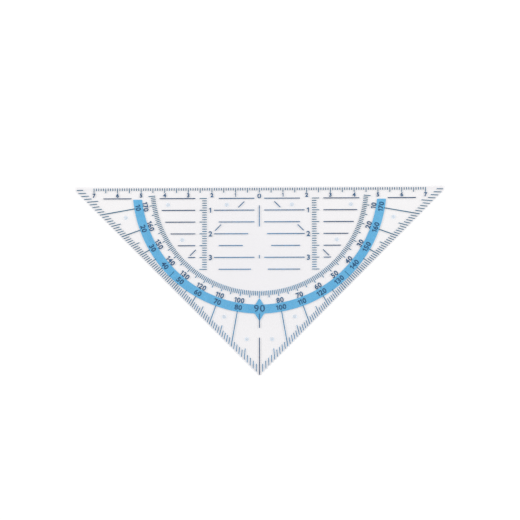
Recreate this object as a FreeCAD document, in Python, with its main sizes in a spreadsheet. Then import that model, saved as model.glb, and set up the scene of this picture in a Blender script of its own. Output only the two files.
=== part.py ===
# Set square with a built-in protractor: a thin clear right-angled triangle that lies on
# twelve small clear nubs, with its scales printed on the underside of the plate.
#
# Frame, millimetres: the origin is the protractor's centre, the middle of the long drawing
# edge, in the plane of the paper. +X runs along the drawing edge, +Y points out of it, so
# the right-angled corner lies at -Y, and +Z points up to the reading side.
#
# From the paper upwards: nub feet, light blue ink, dark ink, plate. The dark ink is
# printed on the plate first and the light blue over it, so seen from above the dark marks
# stand in front of the blue band.

import FreeCAD, Part
import Sketcher
import math
import os

# ---------------------------------------------------------------- driving dimensions
SIZES = {
    "drawing_edge": 160,  # long edge, from sharp tip to sharp tip
    "plate_thickness": 1.5,
    "tip_trim": 2.1,  # cut off each 45 degree tip, along the drawing edge
    "corner_radius": 0.5,  # rounding of the right-angled corner
    "edge_break": 0.15,  # chamfer round the reading side

    "nub_diameter": 1.6,  # anti-slip nub where it meets the plate
    "nub_foot": 0.8,  # its flat foot
    "nub_height": 0.45,  # lift of the plate off the paper

    "ink_thickness": 0.03,  # one printed film
    "edge_margin": 0.55,  # bare strip between the marks and the drawing edge
    "leg_margin": 0.5,  # and between the marks and the legs
    "fine_stroke": 0.36,  # width of a scale mark
    "line_stroke": 0.42,  # width of a parallel line, a ray, a dash and the centre line

    "unit_step": 1,  # smallest step of the straight scales
    "unit_depth": 1.65,  # single marks reach this far in from the drawing edge
    "major_depth": 2.6,  # and every fifth mark this far
    "degree_depth": 2.85,  # degree marks reach this far in from a leg
    "five_degree_depth": 4.1,  # and 5 degree marks this far

    "band_gap": 0.05,  # between the blue band and the shortest degree marks
    "band_width": 3.8,  # blue band of the protractor
    "band_end": 5.4,  # the band's ends stop this far from the drawing edge
    "band_corner": 0.4,  # rounding of the band's ends
    "ray_overlap": 0.3,  # 10 degree rays reach this far into the band
    "half_overlap": 2.9,  # and the 45 degree marks this far

    "pointer_inset": 2.8,  # 90 degree pointer, upper tip, from the band's inner edge
    "pointer_outset": 3.2,  # lower tip, from the band's outer edge
    "pointer_width": 6.1,  # across its middle
    "pointer_fillet": 1.0,  # where its lower flanks leave the band

    "ring_gap": 2.8,  # between the band and the inner degree ring, for numerals
    "ring_unit_length": 1.95,  # degree marks of the inner ring
    "ring_five_length": 2.9,  # 5 degree marks of the inner ring

    "line_start": 2.05,  # parallel lines begin this far from the centre line
    "long_line_gap": 3.05,  # lines that run up to a numeral, short of the height scale
    "short_line_gap": 5.0,  # lines between two numerals, short of the height scale
    "beyond_scale_gap": 1.75,  # from the height scale to the lines beyond it
    "ring_line_gap": 1.7,  # between those lines and the inner degree ring
    "tip_line_gap": 0.4,  # between the band and the short line near each tip
    "tip_line_end": 9.0,  # that line stops this far before the leg

    # Three of the lines keep further off the centre line, on each side by its own amount.
    "line_4_left_start": 4.7,
    "line_4_right_start": 3.25,
    "line_5_left_start": 6.95,
    "line_5_right_start": 5.0,
    "line_7_left_start": 3.55,
    "line_7_right_start": 3.55,

    "height_scale_overrun": 0.25,  # height scales end this far beyond five whole steps
    "height_unit_length": 1.95,  # single marks of a height scale
    "height_major_length": 3.1,  # every fifth mark of a height scale

    # The centre line comes in stretches, measured from the drawing edge or the band.
    "centre_start": 8.0,
    "centre_length": 9.0,
    "tick_start": 29.0,
    "tick_length": 1.45,
    "foot_line_length": 6.05,
    "foot_line_gap": 4.05,

    # Dashes on the two diagonals, each off the middle between two lines by its own amount
    "dash_length": 3.6,
    "dash_1_offset": 0.15,
    "dash_2_offset": -0.15,
    "dash_3_offset": 0.75,

    # The nubs stand in mirrored pairs, on bare places between the marks: the inner pairs
    # between two parallel lines, the outer ones between the rays beyond the band.
    "upper_nub_drop": 0.15,  # centre and edge nubs, below the middle between their lines
    "centre_nub_across": 13.75,
    "edge_nub_inset": 5.6,  # inside the ring's radius, along X
    "flank_nub_inset": 11.6,
    "tip_nub_offset": 4.25,  # beyond the band
    "tip_nub_angle": 13.0,  # degrees below the drawing edge
    "lower_nub_offset": 3.2,
    "lower_nub_angle": 74.9,
    "corner_nub_offset": 10.9,
    "corner_nub_angle": 85.3,
}

# ---------------------------------------------------------------- sizes that follow
FOLLOWING = {
    # from the drawing edge to the sharp right-angled corner
    "altitude": "=drawing_edge / 2",
    "half_edge": "=altitude - tip_trim",
    "major_step": "=5 * unit_step",
    "numeral_step": "=10 * unit_step",
    # whole numeral steps on each half of the drawing edge, clear of the degree marks
    "scale_room": "=altitude - five_degree_depth * sqrt(2)",
    "scale_reach": "=floor(scale_room / numeral_step) * numeral_step",
    # the printable area: half its width, and how far down its corner lies
    "print_half_edge": "=half_edge - leg_margin",
    "print_altitude": "=altitude - leg_margin * sqrt(2)",
    # the band just clears the shortest degree marks, in the middle of each leg
    "band_outer": "=altitude / sqrt(2) - degree_depth - band_gap",
    "band_inner": "=band_outer - band_width",
    "ring_outer": "=band_inner - ring_gap",
    "ring_inner": "=ring_outer - ring_five_length",
    # the parallel lines stay inside this radius
    "line_limit": "=ring_inner - ring_line_gap",
    "line_count": "=floor(line_limit / major_step) - 1",
    "height_scale_end": "=5 * major_step + height_scale_overrun",
    "height_scale_start": "=height_scale_end - height_major_length",
    "long_line_end": "=height_scale_start - long_line_gap",
    "short_line_end": "=height_scale_start - short_line_gap",
    "beyond_scale_start": "=height_scale_end + beyond_scale_gap",
    # fifth marks of a height scale that stay clear of the ring
    "height_reach": "=sqrt(ring_inner * ring_inner - height_scale_end * height_scale_end)",
    "height_count": "=floor(height_reach / major_step)",
    # along a diagonal, the dashes stand two lines apart and stay inside the ring
    "dash_step": "=2 * major_step * sqrt(2)",
    "dash_count": "=floor(ring_inner / dash_step)",
    # nubs between the first and second line, and between the fourth and fifth
    "upper_nub_down": "=1.5 * major_step + upper_nub_drop",
    "flank_nub_down": "=4.5 * major_step",
    # undersides of the two inks, and how tall a shape has to be to trim them
    "ink_level": "=nub_height - ink_thickness",
    "blue_level": "=ink_level - ink_thickness",
    "cutter_height": "=nub_height + plate_thickness",
}

doc = FreeCAD.newDocument("set_square")
sheet = doc.addObject("Spreadsheet::Sheet", "Sizes")
for row, (alias, value) in enumerate({**SIZES, **FOLLOWING}.items(), start=1):
    sheet.set(f"A{row}", alias)
    sheet.set(f"B{row}", str(value))
    sheet.setAlias(f"B{row}", alias)
doc.recompute()


def now(expression):
    """The present value of an expression."""
    return float(sheet.evalExpression(expression))


finished = []


def finish(shape_object, node):
    """Gives a finished sub-part its own name, which is also the name of its file."""
    shape_object.Label = node
    finished.append(shape_object)


# ---------------------------------------------------------------- bodies and sketches
# How a constraint names a sketch's own axes and origin, and the points of an edge
Y_AXIS, X_AXIS = range(-2, 0)
START, END, CENTRE = range(1, 4)
ORIGIN = (X_AXIS, START)


def new_body(name, level=None):
    """A body of one or more solids, lifted to a level of the size sheet."""
    body = doc.addObject("PartDesign::Body", name)
    body.AllowCompound = True
    if level:
        body.setExpression("Placement.Base.z", level)
    return body


def datum(body, role):
    """One of the body's own origin planes or axes."""
    return next(item for item in body.Origin.OriginFeatures if item.Role == role)


def new_sketch(body, name, role="XY_Plane"):
    sketch = body.newObject("Sketcher::SketchObject", f"{body.Name}_{name}")
    sketch.AttachmentSupport = (datum(body, role), [""])
    sketch.MapMode = "FlatFace"
    return sketch


def constrain(sketch, kind, *references):
    return sketch.addConstraint(Sketcher.Constraint(kind, *references))


def dimension(sketch, kind, *references, by):
    """A dimension bound to the size sheet. It starts at its present value, so that the
    sketch keeps the shape it was drawn in."""
    index = constrain(sketch, kind, *references, now(by))
    sketch.setExpression(f"Constraints[{index}]", by)


def draw_polygon(sketch, corners):
    """Straight sides joined end to end, side 0 starting at the first corner."""
    points = [FreeCAD.Vector(x, y, 0) for x, y in corners]
    for start, end in zip(points, points[1:] + points[:1]):
        sketch.addGeometry(Part.LineSegment(start, end))
    for side in range(len(points)):
        constrain(sketch, "Coincident", side, END, (side + 1) % len(points), START)


def add_pad(body, sketch, thickness):
    pad = body.newObject("PartDesign::Pad", f"{sketch.Name}_pad")
    pad.Profile = sketch
    pad.setExpression("Length", thickness)
    body.Tip = pad
    return pad


def add_triangle(body, half_edge, altitude, thickness, drop=None):
    """A right-angled triangle, its square corner down and its two tips cut off. drop is
    how far its upper side lies below the drawing edge."""
    sketch = new_sketch(body, "outline")
    half, depth = now(half_edge), now(altitude)
    top = now(drop) if drop else 0
    draw_polygon(sketch, [(-half, -top), (half, -top), (half, half - depth), (0, -depth),
                          (-half, half - depth)])
    upper, right_tip, right_leg, left_leg, left_tip = range(5)
    constrain(sketch, "Symmetric", upper, START, upper, END, Y_AXIS)
    constrain(sketch, "Vertical", right_tip)
    constrain(sketch, "Vertical", left_tip)
    constrain(sketch, "Horizontal", right_tip, END, left_leg, END)
    constrain(sketch, "PointOnObject", right_leg, END, Y_AXIS)
    constrain(sketch, "Perpendicular", right_leg, left_leg)
    dimension(sketch, "DistanceX", *ORIGIN, upper, END, by=half_edge)
    dimension(sketch, "DistanceY", right_leg, END, *ORIGIN, by=altitude)
    if drop:
        dimension(sketch, "DistanceY", upper, END, *ORIGIN, by=drop)
    else:
        constrain(sketch, "PointOnObject", upper, END, X_AXIS)
    return add_pad(body, sketch, thickness)


def add_mark(body, name, start, end, stroke="Sizes.fine_stroke", angle="0", x="0", y="0"):
    """One printed mark: a thin bar that runs from start to end along a line through
    (x, y), turned clockwise from +X by the angle in degrees."""
    sketch = new_sketch(body, name)
    clockwise = FreeCAD.Rotation(FreeCAD.Vector(0, 0, -1), 1)
    sketch.AttachmentOffset = FreeCAD.Placement(FreeCAD.Vector(), clockwise)
    sketch.setExpression("AttachmentOffset.Rotation.Angle", angle)
    sketch.setExpression("AttachmentOffset.Base.x", x)
    sketch.setExpression("AttachmentOffset.Base.y", y)
    near, far, half = now(start), now(end), now(stroke) / 2
    draw_polygon(sketch, [(near, -half), (far, -half), (far, half), (near, half)])
    lower_side, far_end, upper_side = range(3)
    constrain(sketch, "Horizontal", lower_side)
    constrain(sketch, "Vertical", far_end)
    constrain(sketch, "Horizontal", upper_side)
    constrain(sketch, "Symmetric", lower_side, START, upper_side, END, X_AXIS)
    dimension(sketch, "DistanceX", *ORIGIN, lower_side, START, by=start)
    dimension(sketch, "DistanceX", *ORIGIN, lower_side, END, by=end)
    dimension(sketch, "DistanceY", far_end, START, far_end, END, by=stroke)
    return add_pad(body, sketch, "Sizes.ink_thickness")


def repeat_in_row(body, features, axis, step, count, backwards=False):
    """Copies of features at even steps along one of the body's axes."""
    row = body.newObject("PartDesign::LinearPattern", f"{features[0].Name}_row")
    row.Originals = features
    row.Direction = (datum(body, axis), [""])
    row.Mode = "Spacing"
    row.Reversed = backwards
    row.setExpression("Offset", step)
    row.setExpression("Occurrences", count)
    body.Tip = row


def repeat_round(body, features, degrees, count):
    """Copies of features at even angles, clockwise round the protractor's centre."""
    ring = body.newObject("PartDesign::PolarPattern", f"{features[0].Name}_ring")
    ring.Originals = features
    ring.Axis = (datum(body, "Z_Axis"), [""])
    ring.Mode = "Spacing"
    ring.Reversed = True
    ring.Offset = degrees
    ring.Occurrences = count
    body.Tip = ring


def upright_edges(shape):
    """Names of the edges along Z, from the one nearest the right-angled corner upwards."""
    upright = [(edge.BoundBox.YMin, f"Edge{number}")
               for number, edge in enumerate(shape.Edges, start=1)
               if edge.BoundBox.ZLength > edge.BoundBox.DiagonalLength / 2]
    return [name for place, name in sorted(upright)]


def add_fillet(body, base, edges, radius):
    fillet = body.newObject("PartDesign::Fillet", f"{base.Name}_fillet")
    fillet.Base = (base, edges)
    fillet.setExpression("Radius", radius)
    body.Tip = fillet
    return fillet


# ---------------------------------------------------------------- clear plate
# Cut from clear sheet: square corner slightly rounded, tips cut off blunt, and the edge
# of the reading side broken so that it doesn't catch the hand.
plate = new_body("Plate", "Sizes.nub_height")
plate_pad = add_triangle(plate, "Sizes.half_edge", "Sizes.altitude", "Sizes.plate_thickness")
doc.recompute()
corner = upright_edges(plate_pad.Shape)[:1]
plate_corner = add_fillet(plate, plate_pad, corner, "Sizes.corner_radius")
doc.recompute()
faces = plate_corner.Shape.Faces
top_face = max(range(len(faces)), key=lambda index: faces[index].CenterOfMass.z)
plate_rim = plate.newObject("PartDesign::Chamfer", "Plate_rim")
plate_rim.Base = (plate_corner, [f"Face{top_face + 1}"])
plate_rim.setExpression("Size", "Sizes.edge_break")
plate.Tip = plate_rim
finish(plate, "clear_plate")

# ---------------------------------------------------------------- anti-slip nubs
# Each nub is a shallow dome, turned upside down, bonded to the plate by its wide side and
# standing on a small flat foot.


def new_nub(name, x, y):
    """A dome round its own Z axis, with its foot in the plane of the paper."""
    nub = new_body(name)
    profile = new_sketch(nub, "profile", "XZ_Plane")
    foot = now("Sizes.nub_foot / 2")
    rim = now("Sizes.nub_diameter / 2")
    height = now("Sizes.nub_height")
    centre = (rim * rim + height * height - foot * foot) / (2 * height)
    points = [FreeCAD.Vector(*place, 0) for place in ((0, 0), (foot, 0), (rim, height),
                                                      (0, height))]
    profile.addGeometry(Part.LineSegment(points[0], points[1]))
    dome = Part.Circle(FreeCAD.Vector(0, centre, 0), FreeCAD.Vector(0, 0, 1),
                       math.hypot(foot, centre))
    profile.addGeometry(Part.ArcOfCircle(dome, math.atan2(-centre, foot),
                                         math.atan2(height - centre, rim)))
    profile.addGeometry(Part.LineSegment(points[2], points[3]))
    profile.addGeometry(Part.LineSegment(points[3], points[0]))
    sole, flank, top, middle = range(4)
    constrain(profile, "Coincident", sole, START, *ORIGIN)
    constrain(profile, "Coincident", sole, END, flank, START)
    constrain(profile, "Coincident", flank, END, top, START)
    constrain(profile, "Coincident", top, END, middle, START)
    constrain(profile, "Coincident", middle, END, sole, START)
    constrain(profile, "Horizontal", sole)
    constrain(profile, "Horizontal", top)
    constrain(profile, "Vertical", middle)
    constrain(profile, "PointOnObject", flank, CENTRE, Y_AXIS)
    dimension(profile, "DistanceX", *ORIGIN, sole, END, by="Sizes.nub_foot / 2")
    dimension(profile, "DistanceX", *ORIGIN, flank, END, by="Sizes.nub_diameter / 2")
    dimension(profile, "DistanceY", *ORIGIN, flank, END, by="Sizes.nub_height")
    turned = nub.newObject("PartDesign::Revolution", f"{name}_dome")
    turned.Profile = profile
    turned.ReferenceAxis = (profile, ["V_Axis"])
    nub.Tip = turned
    nub.setExpression("Placement.Base.x", x)
    nub.setExpression("Placement.Base.y", y)
    return nub


def polar(offset, angle):
    """Across and down of a place beyond the band, from its offset and its angle."""
    reach = f"(Sizes.band_outer + Sizes.{offset})"
    return f"{reach} * cos(Sizes.{angle} * 1 deg)", f"{reach} * sin(Sizes.{angle} * 1 deg)"


NUB_PLACES = {
    "centre": ("Sizes.centre_nub_across", "Sizes.upper_nub_down"),
    "edge": ("Sizes.ring_inner - Sizes.edge_nub_inset", "Sizes.upper_nub_down"),
    "flank": ("Sizes.ring_inner - Sizes.flank_nub_inset", "Sizes.flank_nub_down"),
    "tip": polar("tip_nub_offset", "tip_nub_angle"),
    "lower": polar("lower_nub_offset", "lower_nub_angle"),
    "corner": polar("corner_nub_offset", "corner_nub_angle"),
}
for place, (across, down) in NUB_PLACES.items():
    for side, sign in (("left", "-"), ("right", "")):
        nub = new_nub(f"{side.title()}{place.title()}Nub", f"{sign}({across})", f"-({down})")
        finish(nub, f"{side}_{place}_nub")

# ---------------------------------------------------------------- light blue ink
# One film: half a ring with its ends cut parallel to the drawing edge, and the lozenge
# that points at 90 degrees.
band = new_body("Band", "Sizes.blue_level")
arch = new_sketch(band, "arch")
outer_radius, inner_radius = now("Sizes.band_outer"), now("Sizes.band_inner")
end_drop = now("Sizes.band_end")
for radius in (outer_radius, inner_radius):
    lift = math.asin(end_drop / radius)
    circle = Part.Circle(FreeCAD.Vector(), FreeCAD.Vector(0, 0, 1), radius)
    arch.addGeometry(Part.ArcOfCircle(circle, math.pi + lift, 2 * math.pi - lift))
for side in (1, -1):
    ends = [FreeCAD.Vector(side * math.sqrt(radius ** 2 - end_drop ** 2), -end_drop, 0)
            for radius in (outer_radius, inner_radius)]
    arch.addGeometry(Part.LineSegment(*ends))
outer_arc, inner_arc, right_end, left_end = range(4)
for arc, radius in ((outer_arc, "Sizes.band_outer"), (inner_arc, "Sizes.band_inner")):
    constrain(arch, "Coincident", arc, CENTRE, *ORIGIN)
    dimension(arch, "Radius", arc, by=radius)
for line, arc_end in ((right_end, END), (left_end, START)):
    constrain(arch, "Coincident", line, START, outer_arc, arc_end)
    constrain(arch, "Coincident", line, END, inner_arc, arc_end)
    constrain(arch, "Horizontal", line)
    dimension(arch, "DistanceY", line, START, *ORIGIN, by="Sizes.band_end")
add_pad(band, arch, "Sizes.ink_thickness")

lozenge = new_sketch(band, "lozenge")
upper_tip = -(inner_radius - now("Sizes.pointer_inset"))
lower_tip = -(outer_radius + now("Sizes.pointer_outset"))
half_width = now("Sizes.pointer_width") / 2
middle_level = (upper_tip + lower_tip) / 2
draw_polygon(lozenge, [(0, upper_tip), (half_width, middle_level), (0, lower_tip),
                       (-half_width, middle_level)])
upper_right, lower_right, lower_left, upper_left = range(4)
constrain(lozenge, "PointOnObject", upper_right, START, Y_AXIS)
constrain(lozenge, "PointOnObject", lower_right, END, Y_AXIS)
constrain(lozenge, "Symmetric", upper_right, END, lower_left, END, Y_AXIS)
constrain(lozenge, "Equal", upper_right, lower_right)
dimension(lozenge, "DistanceY", upper_right, START, *ORIGIN,
          by="Sizes.band_inner - Sizes.pointer_inset")
dimension(lozenge, "DistanceY", lower_right, END, *ORIGIN,
          by="Sizes.band_outer + Sizes.pointer_outset")
dimension(lozenge, "DistanceX", lower_left, END, upper_right, END, by="Sizes.pointer_width")
pointer = add_pad(band, lozenge, "Sizes.ink_thickness")
# The lowest upright edge is the pointer's tip and the next two are where its flanks leave
# the band. The highest four are the corners of the band's ends.
doc.recompute()
flanks = upright_edges(pointer.Shape)[1:3]
flank_fillet = add_fillet(band, pointer, flanks, "Sizes.pointer_fillet")
doc.recompute()
band_ends = upright_edges(flank_fillet.Shape)[-4:]
add_fillet(band, flank_fillet, band_ends, "Sizes.band_corner")
finish(band, "protractor_band")

# ---------------------------------------------------------------- scale of the drawing edge
# Marks at every unit step, counted from 0 in the middle, and a longer one at every fifth.
edge_scale = new_body("EdgeScale", "Sizes.ink_level")
for name, depth, step in (("unit", "Sizes.unit_depth", "Sizes.unit_step"),
                          ("major", "Sizes.major_depth", "Sizes.major_step")):
    mark = add_mark(edge_scale, name, "Sizes.edge_margin", depth, angle="90",
                    x="-Sizes.scale_reach")
    repeat_in_row(edge_scale, [mark], "X_Axis", step,
                  f"round(2 * Sizes.scale_reach / {step}) + 1")
finish(edge_scale, "drawing_edge_scale")

# ---------------------------------------------------------------- degree scales of the legs
# The marks of a leg lie on rays from the protractor's centre. Each kind of mark is a fan of
# rays, trimmed to the printable area and, except for the 10 degree rays, to a strip of even
# depth along the leg.
printable = new_body("PrintableArea")
add_triangle(printable, "Sizes.print_half_edge", "Sizes.print_altitude",
             "Sizes.cutter_height", drop="Sizes.leg_margin")


def fan(name, start, first, degrees, count, stroke="Sizes.fine_stroke"):
    """Rays of one kind on the right-hand side, cut off at the edges of the print."""
    rays = new_body(name, "Sizes.ink_level")
    ray = add_mark(rays, "ray", start, "Sizes.altitude", stroke, angle=str(first))
    if count > 1:
        repeat_round(rays, [ray], degrees, count)
    trimmed = doc.addObject("Part::Common", f"{name}Trimmed")
    trimmed.Base = rays
    trimmed.Tool = printable
    return trimmed


def keep_strip(rays, depth):
    """Leaves only what lies within this depth of the leg: a square block with its corner
    on the centre line takes the rest away."""
    block = doc.addObject("Part::Box", f"{rays.Name}Block")
    block.setExpression("Length", "Sizes.drawing_edge")
    block.setExpression("Width", "Sizes.drawing_edge")
    block.setExpression("Height", "Sizes.cutter_height")
    block.Placement.Rotation = FreeCAD.Rotation(FreeCAD.Vector(0, 0, 1), 45)
    block.setExpression("Placement.Base.y", f"-(Sizes.altitude - {depth} * sqrt(2))")
    strip = doc.addObject("Part::Cut", f"{rays.Name}Strip")
    strip.Base = rays
    strip.Tool = block
    return strip


inner_end = "Sizes.band_inner"
single_degrees = keep_strip(fan("DegreeFan", inner_end, 1, 1, 89), "Sizes.degree_depth")
five_degrees = keep_strip(fan("FiveDegreeFan", inner_end, 5, 10, 9), "Sizes.five_degree_depth")
ten_degrees = fan("TenDegreeFan", "Sizes.band_outer - Sizes.ray_overlap", 10, 10, 8,
                  "Sizes.line_stroke")
half_mark = fan("HalfMark", "Sizes.band_outer - Sizes.half_overlap", 45, 0, 1)
right_leg = doc.addObject("Part::MultiFuse", "RightLegScale")
right_leg.Shapes = [single_degrees, five_degrees, ten_degrees, half_mark]
finish(right_leg, "right_leg_scale")
left_leg = doc.addObject("Part::Mirroring", "LeftLegScale")
left_leg.Source = right_leg
left_leg.Normal = (1, 0, 0)
finish(left_leg, "left_leg_scale")

# ---------------------------------------------------------------- inner degree ring
# Clockwise from the drawing edge, its marks run from the first to the last of these degrees.
RING_FIRST, RING_LAST = 5, 175
ring = new_body("InnerRing", "Sizes.ink_level")
for name, length, degrees in (("unit", "Sizes.ring_unit_length", 1),
                              ("five", "Sizes.ring_five_length", 5)):
    mark = add_mark(ring, name, "Sizes.ring_inner", f"Sizes.ring_inner + {length}",
                    angle=str(RING_FIRST))
    repeat_round(ring, [mark], degrees, (RING_LAST - RING_FIRST) // degrees + 1)
finish(ring, "inner_degree_ring")

# ---------------------------------------------------------------- parallel lines
# Each line has an inner piece on both sides of the centre line. Those that stand level with
# a numeral of the height scales run on to it. Beyond the scales the lines go on up to the
# ring, and the first one has another short piece near each tip.
lines = new_body("Lines", "Sizes.ink_level")
SIDES = (("left", "180"), ("right", "0"))
for number in range(1, int(now("Sizes.line_count")) + 1):
    line_end = "Sizes.short_line_end" if number % 2 else "Sizes.long_line_end"
    for side, direction in SIDES:
        own_start = f"line_{number}_{side}_start"
        start = own_start if own_start in SIZES else "line_start"
        add_mark(lines, f"{side}_{number}", f"Sizes.{start}", line_end, "Sizes.line_stroke",
                 direction, y=f"-{number} * Sizes.major_step")
outer_pieces = [add_mark(lines, f"outer_{side}", "Sizes.beyond_scale_start",
                         "Sizes.line_limit", "Sizes.line_stroke", direction,
                         y="-Sizes.major_step")
                for side, direction in SIDES]
repeat_in_row(lines, outer_pieces, "Y_Axis", "Sizes.major_step", "Sizes.line_count",
              backwards=True)
inside_ring = doc.addObject("Part::Cylinder", "InsideRing")
inside_ring.setExpression("Radius", "Sizes.line_limit")
inside_ring.setExpression("Height", "Sizes.cutter_height")
lines_inside = doc.addObject("Part::Common", "LinesInside")
lines_inside.Base = lines
lines_inside.Tool = inside_ring
tip_lines = new_body("TipLines", "Sizes.ink_level")
for side, direction in SIDES:
    add_mark(tip_lines, side, "Sizes.band_outer + Sizes.tip_line_gap",
             "Sizes.altitude - Sizes.major_step - Sizes.tip_line_end", "Sizes.line_stroke",
             direction, y="-Sizes.major_step")
all_lines = doc.addObject("Part::MultiFuse", "AllLines")
all_lines.Shapes = [lines_inside, tip_lines]
finish(all_lines, "parallel_lines")

# ---------------------------------------------------------------- height scales
# They start level with the first parallel line.
right_height = new_body("RightHeightScale", "Sizes.ink_level")
for name, length, step, count in (
        ("unit", "Sizes.height_unit_length", "Sizes.unit_step",
         "round((Sizes.height_count - 1) * Sizes.major_step / Sizes.unit_step) + 1"),
        ("major", "Sizes.height_major_length", "Sizes.major_step", "Sizes.height_count")):
    mark = add_mark(right_height, name, "Sizes.height_scale_start",
                    f"Sizes.height_scale_start + {length}", y="-Sizes.major_step")
    repeat_in_row(right_height, [mark], "Y_Axis", step, count, backwards=True)
finish(right_height, "right_height_scale")
left_height = doc.addObject("Part::Mirroring", "LeftHeightScale")
left_height.Source = right_height
left_height.Normal = (1, 0, 0)
finish(left_height, "left_height_scale")

# ---------------------------------------------------------------- centre line
centre_line = new_body("CentreLine", "Sizes.ink_level")
first_end = "Sizes.centre_start + Sizes.centre_length"
tick_end = "Sizes.tick_start + Sizes.tick_length"
foot_end = "Sizes.band_outer + Sizes.foot_line_length"
for name, start, end in (("first", "Sizes.centre_start", first_end),
                         ("tick", "Sizes.tick_start", tick_end),
                         ("foot", "Sizes.band_outer", foot_end),
                         ("last", f"{foot_end} + Sizes.foot_line_gap", "Sizes.print_altitude")):
    add_mark(centre_line, name, start, end, "Sizes.line_stroke", "90")
finish(centre_line, "centre_line")

# ---------------------------------------------------------------- diagonal dashes
# Three dashes on the 45 degree diagonal, and the same on the 135 degree one.
dashes = new_body("Dashes", "Sizes.ink_level")
diagonal = []
for number in range(1, int(now("Sizes.dash_count")) + 1):
    middle = f"({number} - 1 / 4) * Sizes.dash_step"
    if f"dash_{number}_offset" in SIZES:
        middle += f" + Sizes.dash_{number}_offset"
    diagonal.append(add_mark(dashes, f"dash_{number}", f"{middle} - Sizes.dash_length / 2",
                             f"{middle} + Sizes.dash_length / 2", "Sizes.line_stroke", "45"))
repeat_round(dashes, diagonal, 90, 2)
finish(dashes, "diagonal_dashes")

# ---------------------------------------------------------------- check and write
doc.recompute()
for item in doc.Objects:
    faults = {"Invalid", "Error"} & set(item.State)
    assert not faults, f"{item.Label}: {faults}"
for sub_part in finished:
    shape = sub_part.Shape
    assert not shape.isNull() and shape.isValid() and shape.Solids, sub_part.Label

os.makedirs("parts", exist_ok=True)
for sub_part in finished:
    sub_part.Shape.exportStep(f"parts/{sub_part.Label}.step")
    print(f"{sub_part.Label}: {len(sub_part.Shape.Solids)} solids, "
          f"{sub_part.Shape.Volume:.3f} mm3")
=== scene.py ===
import math

import bmesh
import bpy
from mathutils import Euler, Matrix, Vector


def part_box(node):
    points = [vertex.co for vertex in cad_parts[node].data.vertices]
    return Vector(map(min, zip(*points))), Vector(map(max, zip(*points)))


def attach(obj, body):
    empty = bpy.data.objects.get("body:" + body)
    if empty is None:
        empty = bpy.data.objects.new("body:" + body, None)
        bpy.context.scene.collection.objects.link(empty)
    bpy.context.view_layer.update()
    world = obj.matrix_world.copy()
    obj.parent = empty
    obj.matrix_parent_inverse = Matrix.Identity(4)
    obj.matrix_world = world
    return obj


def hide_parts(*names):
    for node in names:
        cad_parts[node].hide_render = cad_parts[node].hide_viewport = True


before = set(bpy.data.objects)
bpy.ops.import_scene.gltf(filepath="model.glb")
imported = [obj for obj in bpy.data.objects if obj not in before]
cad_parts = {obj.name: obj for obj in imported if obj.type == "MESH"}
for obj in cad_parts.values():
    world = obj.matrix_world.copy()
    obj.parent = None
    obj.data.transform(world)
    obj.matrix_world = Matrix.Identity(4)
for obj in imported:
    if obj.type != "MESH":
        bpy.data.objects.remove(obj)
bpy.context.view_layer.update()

# ------------------------------------------------------------------ clear plate
# The triangle itself: clear moulded plastic with a faint lavender cast, polished on both faces
# and finely scuffed. The cast is drawn darker round the middle and in soft clouds: painted shade,
# for the sheet's shadow on the paper below and the shading of light off its slight waves. Light
# goes straight through the thin sheet.
# Seen from the side its edges come out denser, because there is far more plastic behind them.
PLATE_IOR = 1.49
# The middle tint is darker than the outer one: painted shade round the middle of the sheet.
SHADED_MIDDLE_TINT, OUTER_TINT = (0.94, 0.9355, 0.9435, 1), (0.955, 0.9495, 0.953, 1)
MIDDLE, MIDDLE_REACH, OUTER_REACH = (0, -0.035, 0), 0.01, 0.06
EDGE_TINT = (0.62, 0.6, 0.68, 1)
WALL_NORMAL, FACE_NORMAL = 0.2, 0.7  # how far the normal points up, at most and at least
NOISE_LOW, NOISE_HIGH = 0.3, 0.7  # the span that noise really fills
SHADE_CLOUD_SIZE, SHADE_CLOUD = 0.02, 0.008
SCUFF_SIZE, SCUFF_DETAIL, SCUFF_STRETCH = 0.0012, 4, (1, 0.08, 1)
SCUFFS_BEGIN, SCUFFS_FULL = 0.6, 0.75
POLISH, SCUFFED = 0.03, 0.14
MERGE = 1e-7
UNDERSIDE_LIFT = 0.000002


def new_material(name):
    """An empty node material and its tree."""
    material = bpy.data.materials.new(name)
    material.use_nodes = True
    material.node_tree.nodes.clear()
    return material, material.node_tree


def add_node(tree, kind, inputs=None, **properties):
    """A shader node. inputs gives each input a value, or an output to link to it."""
    node = tree.nodes.new(f"ShaderNode{kind}")
    for key, value in properties.items():
        setattr(node, key, value)
    for key, value in (inputs or {}).items():
        if isinstance(value, bpy.types.NodeSocket):
            tree.links.new(value, node.inputs[key])
        else:
            node.inputs[key].default_value = value
    return node


def noise(tree, size, detail=2.0, stretch=(1, 1, 1)):
    """Object-space noise from 0 to 1 with features of about that size."""
    place = add_node(tree, "TexCoord").outputs["Object"]
    scaled = add_node(tree, "Mapping", {"Vector": place, "Scale": stretch}).outputs["Vector"]
    texture = add_node(tree, "TexNoise", {"Vector": scaled, "Scale": 1 / size, "Detail": detail})
    return texture.outputs["Fac"]


def spread(tree, value, low, high, result_low, result_high):
    """Maps a value from one range to another, clamped at both ends."""
    ranges = {"From Min": low, "From Max": high, "To Min": result_low, "To Max": result_high}
    return add_node(tree, "MapRange", {"Value": value, **ranges}).outputs["Result"]


def blend_colours(tree, share, first, second):
    """The first colour where the share is 0 and the second where it is 1."""
    mix = add_node(tree, "Mix", {"Factor": share}, data_type="RGBA")
    for socket, colour in zip([s for s in mix.inputs if s.type == "RGBA"], (first, second)):
        if isinstance(colour, bpy.types.NodeSocket):
            tree.links.new(colour, socket)
        else:
            socket.default_value = colour
    return next(s for s in mix.outputs if s.type == "RGBA")


def reach(tree, centre):
    """Distance from a point of the sheet."""
    place = add_node(tree, "TexCoord").outputs["Object"]
    distance = add_node(tree, "VectorMath", {0: place, 1: centre}, operation="DISTANCE")
    return distance.outputs["Value"]


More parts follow.
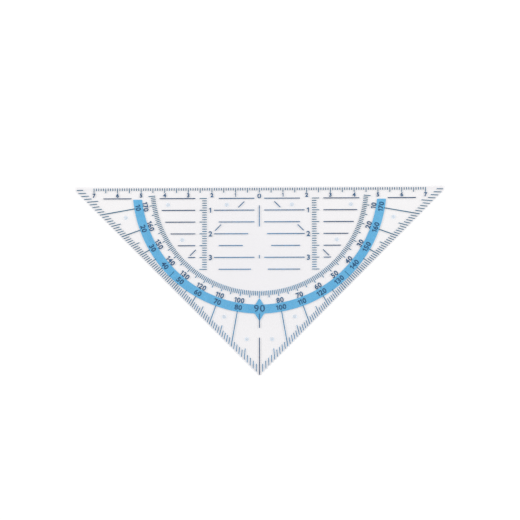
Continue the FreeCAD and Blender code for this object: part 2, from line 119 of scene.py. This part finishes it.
def turned_away(tree):
    """0 where the surface faces the eye and 1 where the eye looks along it."""
    return add_node(tree, "LayerWeight").outputs["Facing"]


def gloss_share(tree, ior):
    """How much a clear surface mirrors at this angle, by Schlick's formula, on its outer
    side only, so that light on its way out is never caught inside."""
    head_on = ((ior - 1) / (ior + 1)) ** 2
    steep = add_node(tree, "Math", {0: turned_away(tree), 1: 5}, operation="POWER").outputs[0]
    mirrored = spread(tree, steep, 0, 1, head_on, 1)
    inside = add_node(tree, "NewGeometry").outputs["Backfacing"]
    outside = add_node(tree, "Math", {0: 1, 1: inside}, operation="SUBTRACT").outputs[0]
    return add_node(tree, "Math", {0: mirrored, 1: outside}, operation="MULTIPLY").outputs[0]


def dress(node, material):
    """Gives a CAD node its material."""
    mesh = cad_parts[node].data
    mesh.materials.clear()
    mesh.materials.append(material)


clear_plastic, tree = new_material("clear_plastic")
# Painted shade: a darker tint round the middle of the sheet, its edge broken into soft clouds.
shade_cloud = spread(tree, noise(tree, SHADE_CLOUD_SIZE), NOISE_LOW, NOISE_HIGH, -SHADE_CLOUD, SHADE_CLOUD)
shade_distance = add_node(tree, "Math", {0: reach(tree, MIDDLE), 1: shade_cloud}, operation="ADD").outputs[0]
outer_share = spread(tree, shade_distance, MIDDLE_REACH, OUTER_REACH, 0, 1)
face_tint_and_shade = blend_colours(tree, outer_share, SHADED_MIDDLE_TINT, OUTER_TINT)
normal = add_node(tree, "SeparateXYZ", {"Vector": add_node(tree, "NewGeometry").outputs["Normal"]})
upright = add_node(tree, "Math", {0: normal.outputs["Z"]}, operation="ABSOLUTE").outputs[0]
wall_share = spread(tree, upright, WALL_NORMAL, FACE_NORMAL, 1, 0)
edge_share = spread(tree, turned_away(tree), 0, 1, wall_share, 0)
sheet_tint_and_shade = blend_colours(tree, edge_share, face_tint_and_shade, EDGE_TINT)
scuff_noise = noise(tree, SCUFF_SIZE, SCUFF_DETAIL, SCUFF_STRETCH)
scuffs = spread(tree, scuff_noise, SCUFFS_BEGIN, SCUFFS_FULL, POLISH, SCUFFED)
through = add_node(tree, "BsdfTransparent", {"Color": sheet_tint_and_shade})
gloss = add_node(tree, "BsdfAnisotropic", {"Color": (1, 1, 1, 1), "Roughness": scuffs})
share = gloss_share(tree, PLATE_IOR)
surface = add_node(tree, "MixShader", {"Fac": share, 1: through.outputs[0], 2: gloss.outputs[0]})
add_node(tree, "OutputMaterial", {"Surface": surface.outputs[0]})

# The films and nubs touch the underside, and two faces in one place can hide each other from a
# ray of light, so the plate is shown by a copy whose underside stands a hair above theirs.
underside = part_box("clear_plate")[0].z
bm = bmesh.new()
bm.from_mesh(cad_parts["clear_plate"].data)
bmesh.ops.remove_doubles(bm, verts=bm.verts, dist=MERGE)
lower = [vert for vert in bm.verts if vert.co.z < underside + UNDERSIDE_LIFT]
bmesh.ops.translate(bm, vec=(0, 0, UNDERSIDE_LIFT), verts=lower)
mesh = bpy.data.meshes.new("clear_sheet")
bm.to_mesh(mesh)
bm.free()
mesh.materials.append(clear_plastic)
clear_sheet = bpy.data.objects.new("clear_sheet", mesh)
bpy.context.scene.collection.objects.link(clear_sheet)
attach(clear_sheet, "root")
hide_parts("clear_plate")

# ------------------------------------------------------------------ dark ink
# All marks are one pass of navy screen-printing ink, matt, printed on the underside. The film
# is thinner and bluer in the middle of the sheet, for the fine marks nearer the square corner,
# and has a fine mottle.
NAVY, THIN_NAVY = (0.003, 0.06, 0.16, 1), (0.08, 0.25, 0.45, 1)
THIN_MIDDLE, THIN_REACH, FULL_REACH = (0, -0.03, 0), 0.012, 0.035
FINE_NAVY, THIN_FINE_NAVY = (0.002, 0.13, 0.24, 1), (0.045, 0.25, 0.45, 1)
FINE_MIDDLE, FINE_THIN_REACH, FINE_FULL_REACH = (0, -0.06, 0), 0.015, 0.06
MOTTLE_SIZE, MOTTLE_DETAIL, MOTTLE = 0.0009, 3, 0.25
INK_ROUGHNESS, INK_GLOSS = 0.7, 0.1


def ink_material(name, colour_of, mottle):
    """Matt ink. colour_of(tree) gives the socket of its colour before the mottle."""
    material, tree = new_material(name)
    uneven = noise(tree, MOTTLE_SIZE, MOTTLE_DETAIL)
    film = spread(tree, uneven, NOISE_LOW, NOISE_HIGH, 1 - mottle, 1 + mottle)
    scaled = add_node(tree, "VectorMath", {0: colour_of(tree), 1: film}, operation="MULTIPLY")
    ink = add_node(tree, "BsdfPrincipled", {"Base Color": scaled.outputs[0],
                                            "Roughness": INK_ROUGHNESS,
                                            "Specular IOR Level": INK_GLOSS})
    add_node(tree, "OutputMaterial", {"Surface": ink.outputs["BSDF"]})
    return material


def navy_colour(tree, thin, full, middle=THIN_MIDDLE, thin_reach=THIN_REACH,
                full_reach=FULL_REACH):
    """Thin ink round a point of the sheet and full ink further out."""
    share = spread(tree, reach(tree, middle), thin_reach, full_reach, 0, 1)
    return blend_colours(tree, share, thin, full)


line_ink = ink_material("dark_blue_ink", lambda tree: navy_colour(tree, THIN_NAVY, NAVY), MOTTLE)
for node in ("parallel_lines", "centre_line", "diagonal_dashes"):
    dress(node, line_ink)
fine_ink = ink_material("dark_blue_ink_fine", lambda tree: navy_colour(
    tree, THIN_FINE_NAVY, FINE_NAVY, FINE_MIDDLE, FINE_THIN_REACH, FINE_FULL_REACH), MOTTLE)
for node in ("drawing_edge_scale", "right_leg_scale", "left_leg_scale", "inner_degree_ring",
             "right_height_scale", "left_height_scale"):
    dress(node, fine_ink)

# ------------------------------------------------------------------ light blue ink
# The protractor band and its pointer: opaque light blue, laid over the dark pass, a little
# uneven where the squeegee slowed down.
LIGHT_BLUE, LIGHT_BLUE_2 = (0.11, 0.465, 0.765, 1), (0.14, 0.503, 0.795, 1)
STREAK_SIZE, STREAK_DETAIL, STREAK_STRETCH = 0.012, 3, (2, 0.5, 1)
STREAK_LOW, STREAK_HIGH = 0.35, 0.65
BAND_MOTTLE = 0.05


def light_blue_colour(tree):
    """Two tones of the blue in soft streaks."""
    streak_noise = noise(tree, STREAK_SIZE, STREAK_DETAIL, STREAK_STRETCH)
    streaks = spread(tree, streak_noise, STREAK_LOW, STREAK_HIGH, 0, 1)
    return blend_colours(tree, streaks, LIGHT_BLUE, LIGHT_BLUE_2)


dress("protractor_band", ink_material("light_blue_ink", light_blue_colour, BAND_MOTTLE))

# ------------------------------------------------------------------ numerals
# Plain numbers, printed in the same pass as the dark marks: centimetres along the drawing edge
# and up the height scales, and degrees in two rows round the protractor, their tops towards its
# centre. Those rows lie a little nearer the drawing edge than the marks, and a little turned.
EDGE_NUMERAL, EDGE_DOWN, EDGE_STRETCH, EDGE_WEIGHT = 0.0016, 0.0036, 1, 0.08
ZERO_NUMERAL, ZERO_DOWN, ZERO_STRETCH, ZERO_WEIGHT = 0.00195, 0.004, 1.25, 0.03
DEGREE_NUMERAL, OUTER_ROW, INNER_ROW = 0.00205, 0.05202, 0.04885
OUTER_RISE, INNER_RISE, ROWS_TURN = 0.00026, 0.00012, 0.17  # the turn in degrees
DEGREE_STRETCH, DEGREE_WEIGHT = 1.02, 0.05
RIGHT_ANGLE_NUMERAL, RIGHT_ANGLE_DOWN = 0.0028, 0.05145
RIGHT_ANGLE_STRETCH, RIGHT_ANGLE_WEIGHT = 1.15, 0.025
HEIGHT_NUMERAL, HEIGHT_ACROSS, HEIGHT_STRETCH, HEIGHT_WEIGHT = 0.0021, 0.02062, 1.05, 0.045
LAST_EDGE_NUMBER, LAST_HEIGHT_NUMBER = 7, 3
FONT_DIGIT_HEIGHT, DIGIT_SMOOTHNESS = 0.7, 3
DIGIT_ROOM, WIDE_DIGIT_ROOM = {"1": 0.46, "7": 0.7}, 0.78  # widths, as shares of the height
ONE_OUTLINE = ((-0.07, -0.5), (0.14, -0.5), (0.14, 0.5), (-0.02, 0.5), (-0.27, 0.34),
               (-0.27, 0.12), (-0.07, 0.25))
NUMBER_NAVY, THIN_NUMBER_NAVY = (0.002, 0.085, 0.21, 1), (0.02, 0.14, 0.29, 1)
film_low, film_high = (corner.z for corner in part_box("drawing_edge_scale"))
number_ink = ink_material("dark_blue_ink_numbers", lambda tree: navy_colour(
    tree, THIN_NUMBER_NAVY, NUMBER_NAVY), MOTTLE)


def digit_mesh(digit, weight):
    """A digit 1 high and 1 thick round the origin. The built-in font's 1 is a bare bar, so
    that one gets its own outline with a flag."""
    if digit == "1":
        bm = bmesh.new()
        face = bm.faces.new([bm.verts.new((x, y, -0.5)) for x, y in ONE_OUTLINE])
        raised = bmesh.ops.extrude_face_region(bm, geom=[face])["geom"]
        upper = [item for item in raised if isinstance(item, bmesh.types.BMVert)]
        bmesh.ops.translate(bm, vec=(0, 0, 1), verts=upper)
        mesh = bpy.data.meshes.new("digit")
        bm.to_mesh(mesh)
        bm.free()
        return mesh
    curve = bpy.data.curves.new("digit", "FONT")
    curve.body = digit
    curve.size = 1 / FONT_DIGIT_HEIGHT
    curve.extrude = 0.5
    curve.offset = weight
    curve.resolution_u = DIGIT_SMOOTHNESS
    curve.align_x = "CENTER"
    text = bpy.data.objects.new("digit", curve)
    mesh = bpy.data.meshes.new_from_object(text)
    mesh.transform(Matrix.Translation((0, -0.5, 0)))
    bpy.data.objects.remove(text)
    return mesh


def print_numbers(name, labels, height, stretch, weight):
    """One film with all the labels of a row. A label is its text, its place and its turn."""
    bm = bmesh.new()
    for text, x, y, turn in labels:
        middle = Matrix.Translation((x, y, (film_low + film_high) / 2))
        place = middle @ Matrix.Rotation(turn, 4, "Z")
        rooms = [DIGIT_ROOM.get(digit, WIDE_DIGIT_ROOM) for digit in text]
        for index, digit in enumerate(text):
            along = sum(rooms[:index]) + (rooms[index] - sum(rooms)) / 2
            mesh = digit_mesh(digit, weight)
            size = Matrix.Diagonal((height * stretch, height, film_high - film_low, 1))
            mesh.transform(place @ size @ Matrix.Translation((along, 0, 0)))
            bm.from_mesh(mesh)
            bpy.data.meshes.remove(mesh)
    bmesh.ops.remove_doubles(bm, verts=bm.verts, dist=MERGE)
    bmesh.ops.recalc_face_normals(bm, faces=bm.faces)
    mesh = bpy.data.meshes.new(name)
    bm.to_mesh(mesh)
    bm.free()
    numbers = bpy.data.objects.new(name, mesh)
    bpy.context.scene.collection.objects.link(numbers)
    mesh.materials.append(number_ink)
    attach(numbers, "root")


def round_labels(radius, rise, number):
    """Labels at every ten degrees but 90, counted from the left end of the protractor."""
    labels = []
    for ten in range(10, 180, 10):
        if ten != 90:
            turn = math.radians(ten + ROWS_TURN)
            x, y = -radius * math.cos(turn), rise - radius * math.sin(turn)
            labels.append((str(number(ten)), x, y, turn - math.pi / 2))
    return labels


edge_labels = [(str(abs(cm)), cm / 100, -EDGE_DOWN, 0)
               for cm in range(-LAST_EDGE_NUMBER, LAST_EDGE_NUMBER + 1) if cm]
print_numbers("edge_numbers", edge_labels, EDGE_NUMERAL, EDGE_STRETCH, EDGE_WEIGHT)
print_numbers("zero", [("0", 0, -ZERO_DOWN, 0)], ZERO_NUMERAL, ZERO_STRETCH, ZERO_WEIGHT)
outer_labels = round_labels(OUTER_ROW, OUTER_RISE, lambda ten: ten)
print_numbers("outer_degree_numbers", outer_labels, DEGREE_NUMERAL, DEGREE_STRETCH, DEGREE_WEIGHT)
inner_labels = round_labels(INNER_ROW, INNER_RISE, lambda ten: 180 - ten)
print_numbers("inner_degree_numbers", inner_labels, DEGREE_NUMERAL, DEGREE_STRETCH, DEGREE_WEIGHT)
print_numbers("right_angle_number", [("90", 0, -RIGHT_ANGLE_DOWN, 0)],
              RIGHT_ANGLE_NUMERAL, RIGHT_ANGLE_STRETCH, RIGHT_ANGLE_WEIGHT)
height_labels = [(str(cm), side * HEIGHT_ACROSS, -cm / 100, 0)
                 for cm in range(1, LAST_HEIGHT_NUMBER + 1) for side in (-1, 1)]
print_numbers("height_numbers", height_labels, HEIGHT_NUMERAL, HEIGHT_STRETCH, HEIGHT_WEIGHT)

# ------------------------------------------------------------------ nubs
# Soft clear studs that keep the sheet from sliding. They are nearly invisible from straight
# above. Where the eye looks along their flanks a pale blue rim is painted, for the light that
# their clear domes bend and mirror.
PAINTED_RIM_BLUE, PAINTED_RIM_BLUE_2 = (0.42, 0.76, 1, 1), (0.7, 0.9, 1, 1)
PAINTED_RIM_PATCH_SIZE, PAINTED_RIM_ROUGHNESS, PAINTED_RIM_BLEND = 0.0006, 0.35, 0.3
NUB_TINT = (0.96, 0.98, 1, 1)
clear_rubber, tree = new_material("clear_rubber")
# Painted refraction: an opaque pale blue rim where the eye looks along the flanks.
painted_rim_colour = blend_colours(tree, noise(tree, PAINTED_RIM_PATCH_SIZE), PAINTED_RIM_BLUE, PAINTED_RIM_BLUE_2)
painted_rim = add_node(tree, "BsdfPrincipled", {"Base Color": painted_rim_colour, "Roughness": PAINTED_RIM_ROUGHNESS})
through = add_node(tree, "BsdfTransparent", {"Color": NUB_TINT})
flank = add_node(tree, "LayerWeight", {"Blend": PAINTED_RIM_BLEND}).outputs["Facing"]
surface = add_node(tree, "MixShader", {"Fac": flank, 1: through.outputs[0], 2: painted_rim.outputs["BSDF"]})
add_node(tree, "OutputMaterial", {"Surface": surface.outputs[0]})
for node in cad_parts:
    if node.endswith("_nub"):
        dress(node, clear_rubber)

# ------------------------------------------------------------------ floor
# White paper that runs on far beyond the sheet. Half of its brightness towards the eye is its
# own, so that it stays white and still takes the faint shadow of the sheet. It is one-sided, so
# that the sheet can be looked at from below.
FLOOR_HALF, FLOOR_DROP = 3.0, 0.00002
OWN_SHARE = 0.5


def looked_at(tree):
    """1 for what the eye sees, straight, mirrored or through glass, and 0 for the light that
    falls on the object."""
    path = add_node(tree, "LightPath").outputs
    seen = path["Is Camera Ray"]
    for kind in ("Is Glossy Ray", "Is Transmission Ray"):
        seen = add_node(tree, "Math", {0: seen, 1: path[kind]}, operation="MAXIMUM").outputs[0]
    return seen


bm = bmesh.new()
bmesh.ops.create_grid(bm, x_segments=1, y_segments=1, size=FLOOR_HALF)
bmesh.ops.translate(bm, vec=(0, 0, -FLOOR_DROP), verts=bm.verts)
mesh = bpy.data.meshes.new("floor")
bm.to_mesh(mesh)
bm.free()
floor = bpy.data.objects.new("floor", mesh)
bpy.context.scene.collection.objects.link(floor)
white_paper, tree = new_material("white_paper")
own = add_node(tree, "Math", {0: looked_at(tree), 1: OWN_SHARE}, operation="MULTIPLY").outputs[0]
paper = add_node(tree, "BsdfDiffuse", {"Color": (1, 1, 1, 1)})
glow = add_node(tree, "Emission", {"Strength": 1.0})
upper = add_node(tree, "MixShader", {"Fac": own, 1: paper.outputs[0], 2: glow.outputs[0]})
lower = add_node(tree, "BsdfTransparent")
below = add_node(tree, "NewGeometry").outputs["Backfacing"]
surface = add_node(tree, "MixShader", {"Fac": below, 1: upper.outputs[0], 2: lower.outputs[0]})
add_node(tree, "OutputMaterial", {"Surface": surface.outputs[0]})
mesh.materials.append(white_paper)

# ------------------------------------------------------------------ light
# A white tent that the eye sees as white, dimmer for everything else, and two long soft boxes
# at the sides. None stands where the polished face would mirror it into the camera above.
TENT = 0.45
BOX_SIZE, BOX_POWER = (1.2, 0.5), 14.0
BOX_PLACES = ((-1.1, 0.35, 0.75), (1.1, 0.35, 0.75))
world = bpy.data.worlds.new("studio")
bpy.context.scene.world = world
world.use_nodes = True
tree = world.node_tree
tree.nodes.clear()
strength = spread(tree, looked_at(tree), 0, 1, TENT, 1)
background = add_node(tree, "Background", {"Color": (1, 1, 1, 1), "Strength": strength})
add_node(tree, "OutputWorld", {"Surface": background.outputs[0]})
for place in BOX_PLACES:
    light = bpy.data.lights.new("soft_box", "AREA")
    light.shape = "RECTANGLE"
    light.size, light.size_y = BOX_SIZE
    light.energy = BOX_POWER
    box = bpy.data.objects.new("soft_box", light)
    box.location = place
    box.rotation_euler = (-Vector(place)).to_track_quat("-Z", "Y").to_euler()
    bpy.context.scene.collection.objects.link(box)

# ------------------------------------------------------------------ camera
# Almost straight above, leaning a little towards the square corner, and far enough away that
# the sheet lies in the middle of a wide white margin.
FRAME_WIDTH, SENSOR_WIDTH = 0.2187, 36
CAMERA_DISTANCE, NEAREST_SEEN = 0.603, 0.01
AIM = (0.000264, -0.03114, 0.00045)
TILT = (math.radians(4.34), math.radians(1.55), math.radians(-0.08))
camera_data = bpy.data.cameras.new("camera")
camera_data.sensor_width = SENSOR_WIDTH
camera_data.lens = camera_data.sensor_width * CAMERA_DISTANCE / FRAME_WIDTH
camera_data.clip_start = NEAREST_SEEN
camera = bpy.data.objects.new("camera", camera_data)
turned = Euler(TILT).to_matrix()
camera_place = Vector(AIM) + CAMERA_DISTANCE * turned.col[2]
camera.matrix_world = Matrix.Translation(camera_place) @ turned.to_4x4()
bpy.context.scene.collection.objects.link(camera)
bpy.context.scene.camera = camera
bpy.context.scene.view_settings.view_transform = "Standard"
